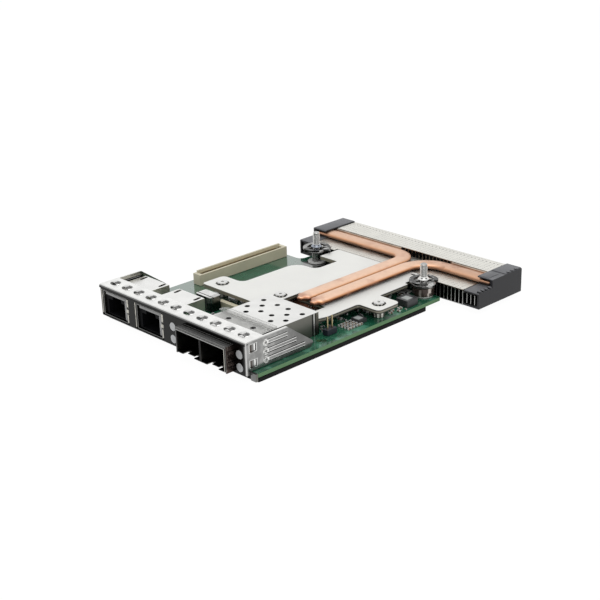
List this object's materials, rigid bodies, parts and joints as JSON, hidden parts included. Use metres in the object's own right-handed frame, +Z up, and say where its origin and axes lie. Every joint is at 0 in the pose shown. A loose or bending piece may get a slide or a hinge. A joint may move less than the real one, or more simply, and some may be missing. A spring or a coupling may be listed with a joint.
{
  "type": "mezzanine network card",
  "caption": "Bare network card with a folded metal faceplate, network jacks, a double module cage, a heatsink plate with flat heat pipes and a rear fin stack.",
  "frame": {"origin": "centre of the bounding box in plan, on the plane that the bottom cover rests on", "axes": "+X along the faceplate from the jacks towards the module cage, +Y back from the faceplate to the fin stack, +Z up from the bottom cover to the heatsink's side"},
  "size_m": [0.1154, 0.1444, 0.0182],
  "materials": {
    "plated_steel": "bright nickel plate",
    "bright_can": "bright tin plate",
    "board_green": "glossy dark green solder mask",
    "black_plastic": "moulded black",
    "cap_plastic": "moulded charcoal",
    "black_cover": "black sheet",
    "aluminium": "blasted matt",
    "fin_metal": "plated, satin",
    "copper": "bare copper, satin",
    "chip_black": "moulded black",
    "pad_grey": "soft grey",
    "light_pipe": "clear to milky",
    "khaki_plastic": "moulded khaki",
    "gold_contact": "gold flash",
    "zinc_screw": "zinc plate",
    "dark_steel": "black oxide"
  },
  "bodies": {
    "card": {"bottom_cover": "black_cover", "cage_spring_collar": "plated_steel", "capacitor_block": "khaki_plastic", "captive_bushing_left": "dark_steel", "captive_bushing_right": "dark_steel", "captive_washer_left": "zinc_screw", "captive_washer_right": "zinc_screw", "circuit_board": "board_green", "connector_contact_blade": "gold_contact", "controller_chip": "chip_black", "crystal_can": "bright_can", "faceplate": "plated_steel", "fin_end_cap_left": "cap_plastic", "fin_end_cap_right": "cap_plastic", "fin_stack": "fin_metal", "header_pin_front": "gold_contact", "header_pin_rear": "gold_contact", "heat_pipe_left": "copper", "heat_pipe_right": "copper", "heatsink_plate": "aluminium", "heatsink_screw_left": "zinc_screw", "heatsink_screw_middle": "zinc_screw", "heatsink_screw_right": "zinc_screw", "heatsink_spacer_left": "light_pipe", "heatsink_spacer_middle": "light_pipe", "heatsink_spacer_right": "light_pipe", "jack_contacts_left": "gold_contact", "jack_contacts_right": "gold_contact", "jack_insert_left": "black_plastic", "jack_insert_right": "black_plastic", "jack_shield_left": "bright_can", "jack_shield_right": "bright_can", "light_pipe_left": "light_pipe", "light_pipe_right": "light_pipe", "mezzanine_connector": "khaki_plastic", "module_cage": "bright_can", "module_connector_left": "black_plastic", "module_connector_right": "black_plastic", "pin_header": "black_plastic", "power_inductor": "chip_black", "regulator_chip": "chip_black", "thermal_pad": "pad_grey"},
    "clip_left": {"captive_clip_left": "dark_steel"},
    "screw_left": {"captive_screw_left": "zinc_screw"},
    "clip_right": {"captive_clip_right": "dark_steel"},
    "screw_right": {"captive_screw_right": "zinc_screw"}
  },
  "joints": [
    {"name": "captive_slide_left", "type": "slide", "parent": "card", "child": "clip_left", "axis": [0, 0, 1], "range_m": [0, 0.0006]},
    {"name": "captive_turn_left", "type": "hinge", "parent": "clip_left", "child": "screw_left", "pos_m": [-0.03318, 0.0372, 0.01065], "axis": [0, 0, 1], "continuous": true},
    {"name": "captive_slide_right", "type": "slide", "parent": "card", "child": "clip_right", "axis": [0, 0, 1], "range_m": [0, 0.0006]},
    {"name": "captive_turn_right", "type": "hinge", "parent": "clip_right", "child": "screw_right", "pos_m": [0.03182, 0.0376, 0.01065], "axis": [0, 0, 1], "continuous": true}
  ]
}
